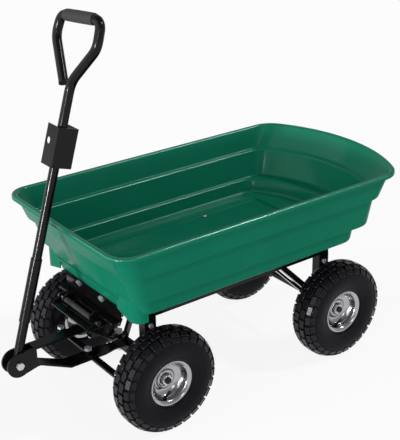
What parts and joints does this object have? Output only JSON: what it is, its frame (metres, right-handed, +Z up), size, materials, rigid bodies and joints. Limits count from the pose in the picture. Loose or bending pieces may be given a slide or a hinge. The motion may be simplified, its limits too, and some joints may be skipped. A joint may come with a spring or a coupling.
{
  "type": "tipping dump cart",
  "caption": "Dump cart with a stepped tub that tips back over its rear axle, a front latch, tie-rod steering and a folding pull handle with a D-shaped grip and a tow bracket.",
  "frame": {"origin": "on the ground, under the middle of the overall length and width", "axes": "+X forward to the pull handle, +Y to the cart's left, +Z up"},
  "size_m": [1.072, 0.512, 0.9624],
  "materials": {
    "tub_plastic": "satin moulded plastic, fine grain",
    "frame_paint": "satin black powder coat",
    "zinc": "bright zinc plate",
    "rim": "bright pressed steel",
    "tyre": "black rubber with block tread",
    "grip": "dark grey moulded grip",
    "cap": "black plug"
  },
  "bodies": {
    "chassis": {"rail_left": "frame_paint", "rail_right": "frame_paint", "front_tie_bar": "frame_paint", "front_cross_member": "frame_paint", "rear_cross_member": "frame_paint", "front_leg_left": "frame_paint", "front_leg_right": "frame_paint", "rear_leg_left": "frame_paint", "rear_leg_right": "frame_paint", "rear_axle": "frame_paint", "rear_axle_fittings": "zinc", "rear_brace_left": "frame_paint", "rear_brace_right": "frame_paint", "front_axle_beam": "frame_paint", "front_struts": "frame_paint", "kingpin_left": "zinc", "kingpin_right": "zinc", "steering_pivot_bolt": "zinc", "hinge_lugs": "frame_paint", "hinge_pin": "zinc", "latch_bracket": "frame_paint", "latch_pin": "zinc", "latch_spring": "zinc", "frame_bolts": "zinc"},
    "tub": {"tub": "tub_plastic", "tub_hinge_left": "frame_paint", "tub_hinge_right": "frame_paint", "latch_plate": "frame_paint", "latch_plate_bolts": "zinc", "tub_floor_bolts": "zinc"},
    "latch": {"latch_lever": "frame_paint", "latch_grip": "grip"},
    "yoke": {"yoke_upper_bar": "frame_paint", "yoke_lower_bar": "frame_paint", "clevis": "frame_paint", "clevis_bolt": "zinc", "tie_rod_centre_bolt": "zinc"},
    "handle": {"handle_tube": "frame_paint", "handle_sleeve": "frame_paint", "hitch_bracket": "frame_paint", "handle_grip": "grip", "handle_end_cap": "cap"},
    "rod_left": {"tie_rod_left": "frame_paint"},
    "rod_right": {"tie_rod_right": "frame_paint"},
    "turn_left": {"knuckle_left": "frame_paint", "knuckle_fasteners_left": "zinc"},
    "turn_right": {"knuckle_right": "frame_paint", "knuckle_fasteners_right": "zinc"},
    "wheel_front_left": {"tyre_front_left": "tyre", "rim_front_left": "rim", "hub_front_left": "zinc"},
    "wheel_front_right": {"tyre_front_right": "tyre", "rim_front_right": "rim", "hub_front_right": "zinc"},
    "wheel_rear_left": {"tyre_rear_left": "tyre", "rim_rear_left": "rim", "hub_rear_left": "zinc"},
    "wheel_rear_right": {"tyre_rear_right": "tyre", "rim_rear_right": "rim", "hub_rear_right": "zinc"}
  },
  "joints": [
    {"name": "tub_tip", "type": "hinge", "parent": "chassis", "child": "tub", "pos_m": [-0.344, 0, 0.295], "axis": [0, -1, 0], "range_deg": [0, 68]},
    {"name": "latch_release", "type": "hinge", "parent": "chassis", "child": "latch", "pos_m": [0.325, 0, 0.254], "axis": [0, 1, 0], "range_deg": [0, 28], "stiffness_Nm_per_rad": 0.5, "springref_deg": -14.32},
    {"name": "steer", "type": "hinge", "parent": "chassis", "child": "yoke", "pos_m": [0.22935, 0, 0.145], "axis": [0, 0, 1], "range_deg": [-24, 24]},
    {"name": "knuckle_turn_left", "type": "hinge", "parent": "chassis", "child": "turn_left", "pos_m": [0.22935, 0.132, 0.13], "axis": [0, 0, 1], "range_deg": [-24, 24]},
    {"name": "knuckle_turn_right", "type": "hinge", "parent": "chassis", "child": "turn_right", "pos_m": [0.22935, -0.132, 0.13], "axis": [0, 0, 1], "range_deg": [-24, 24]},
    {"name": "tie_rod_swing_left", "type": "hinge", "parent": "yoke", "child": "rod_left", "pos_m": [0.317, 0, 0.1363], "axis": [0, 0, 1], "range_deg": [-24, 24]},
    {"name": "tie_rod_swing_right", "type": "hinge", "parent": "yoke", "child": "rod_right", "pos_m": [0.317, 0, 0.1426], "axis": [0, 0, 1], "range_deg": [-24, 24]},
    {"name": "handle_fold", "type": "hinge", "parent": "yoke", "child": "handle", "pos_m": [0.506, 0, 0.182], "axis": [0, 1, 0], "range_deg": [0, 112]},
    {"name": "spin_front_left", "type": "hinge", "parent": "turn_left", "child": "wheel_front_left", "pos_m": [0.22935, 0.196, 0.13], "axis": [0, 1, 0], "continuous": true},
    {"name": "spin_front_right", "type": "hinge", "parent": "turn_right", "child": "wheel_front_right", "pos_m": [0.22935, -0.196, 0.13], "axis": [0, 1, 0], "continuous": true},
    {"name": "spin_rear_left", "type": "hinge", "parent": "chassis", "child": "wheel_rear_left", "pos_m": [-0.31535, 0.196, 0.13], "axis": [0, 1, 0], "continuous": true},
    {"name": "spin_rear_right", "type": "hinge", "parent": "chassis", "child": "wheel_rear_right", "pos_m": [-0.31535, -0.196, 0.13], "axis": [0, 1, 0], "continuous": true}
  ],
  "couplings": [
    {"joint": "knuckle_turn_left", "follows": "steer", "ratio": 1},
    {"joint": "knuckle_turn_right", "follows": "steer", "ratio": 1},
    {"joint": "tie_rod_swing_left", "follows": "steer", "ratio": -1},
    {"joint": "tie_rod_swing_right", "follows": "steer", "ratio": -1}
  ]
}
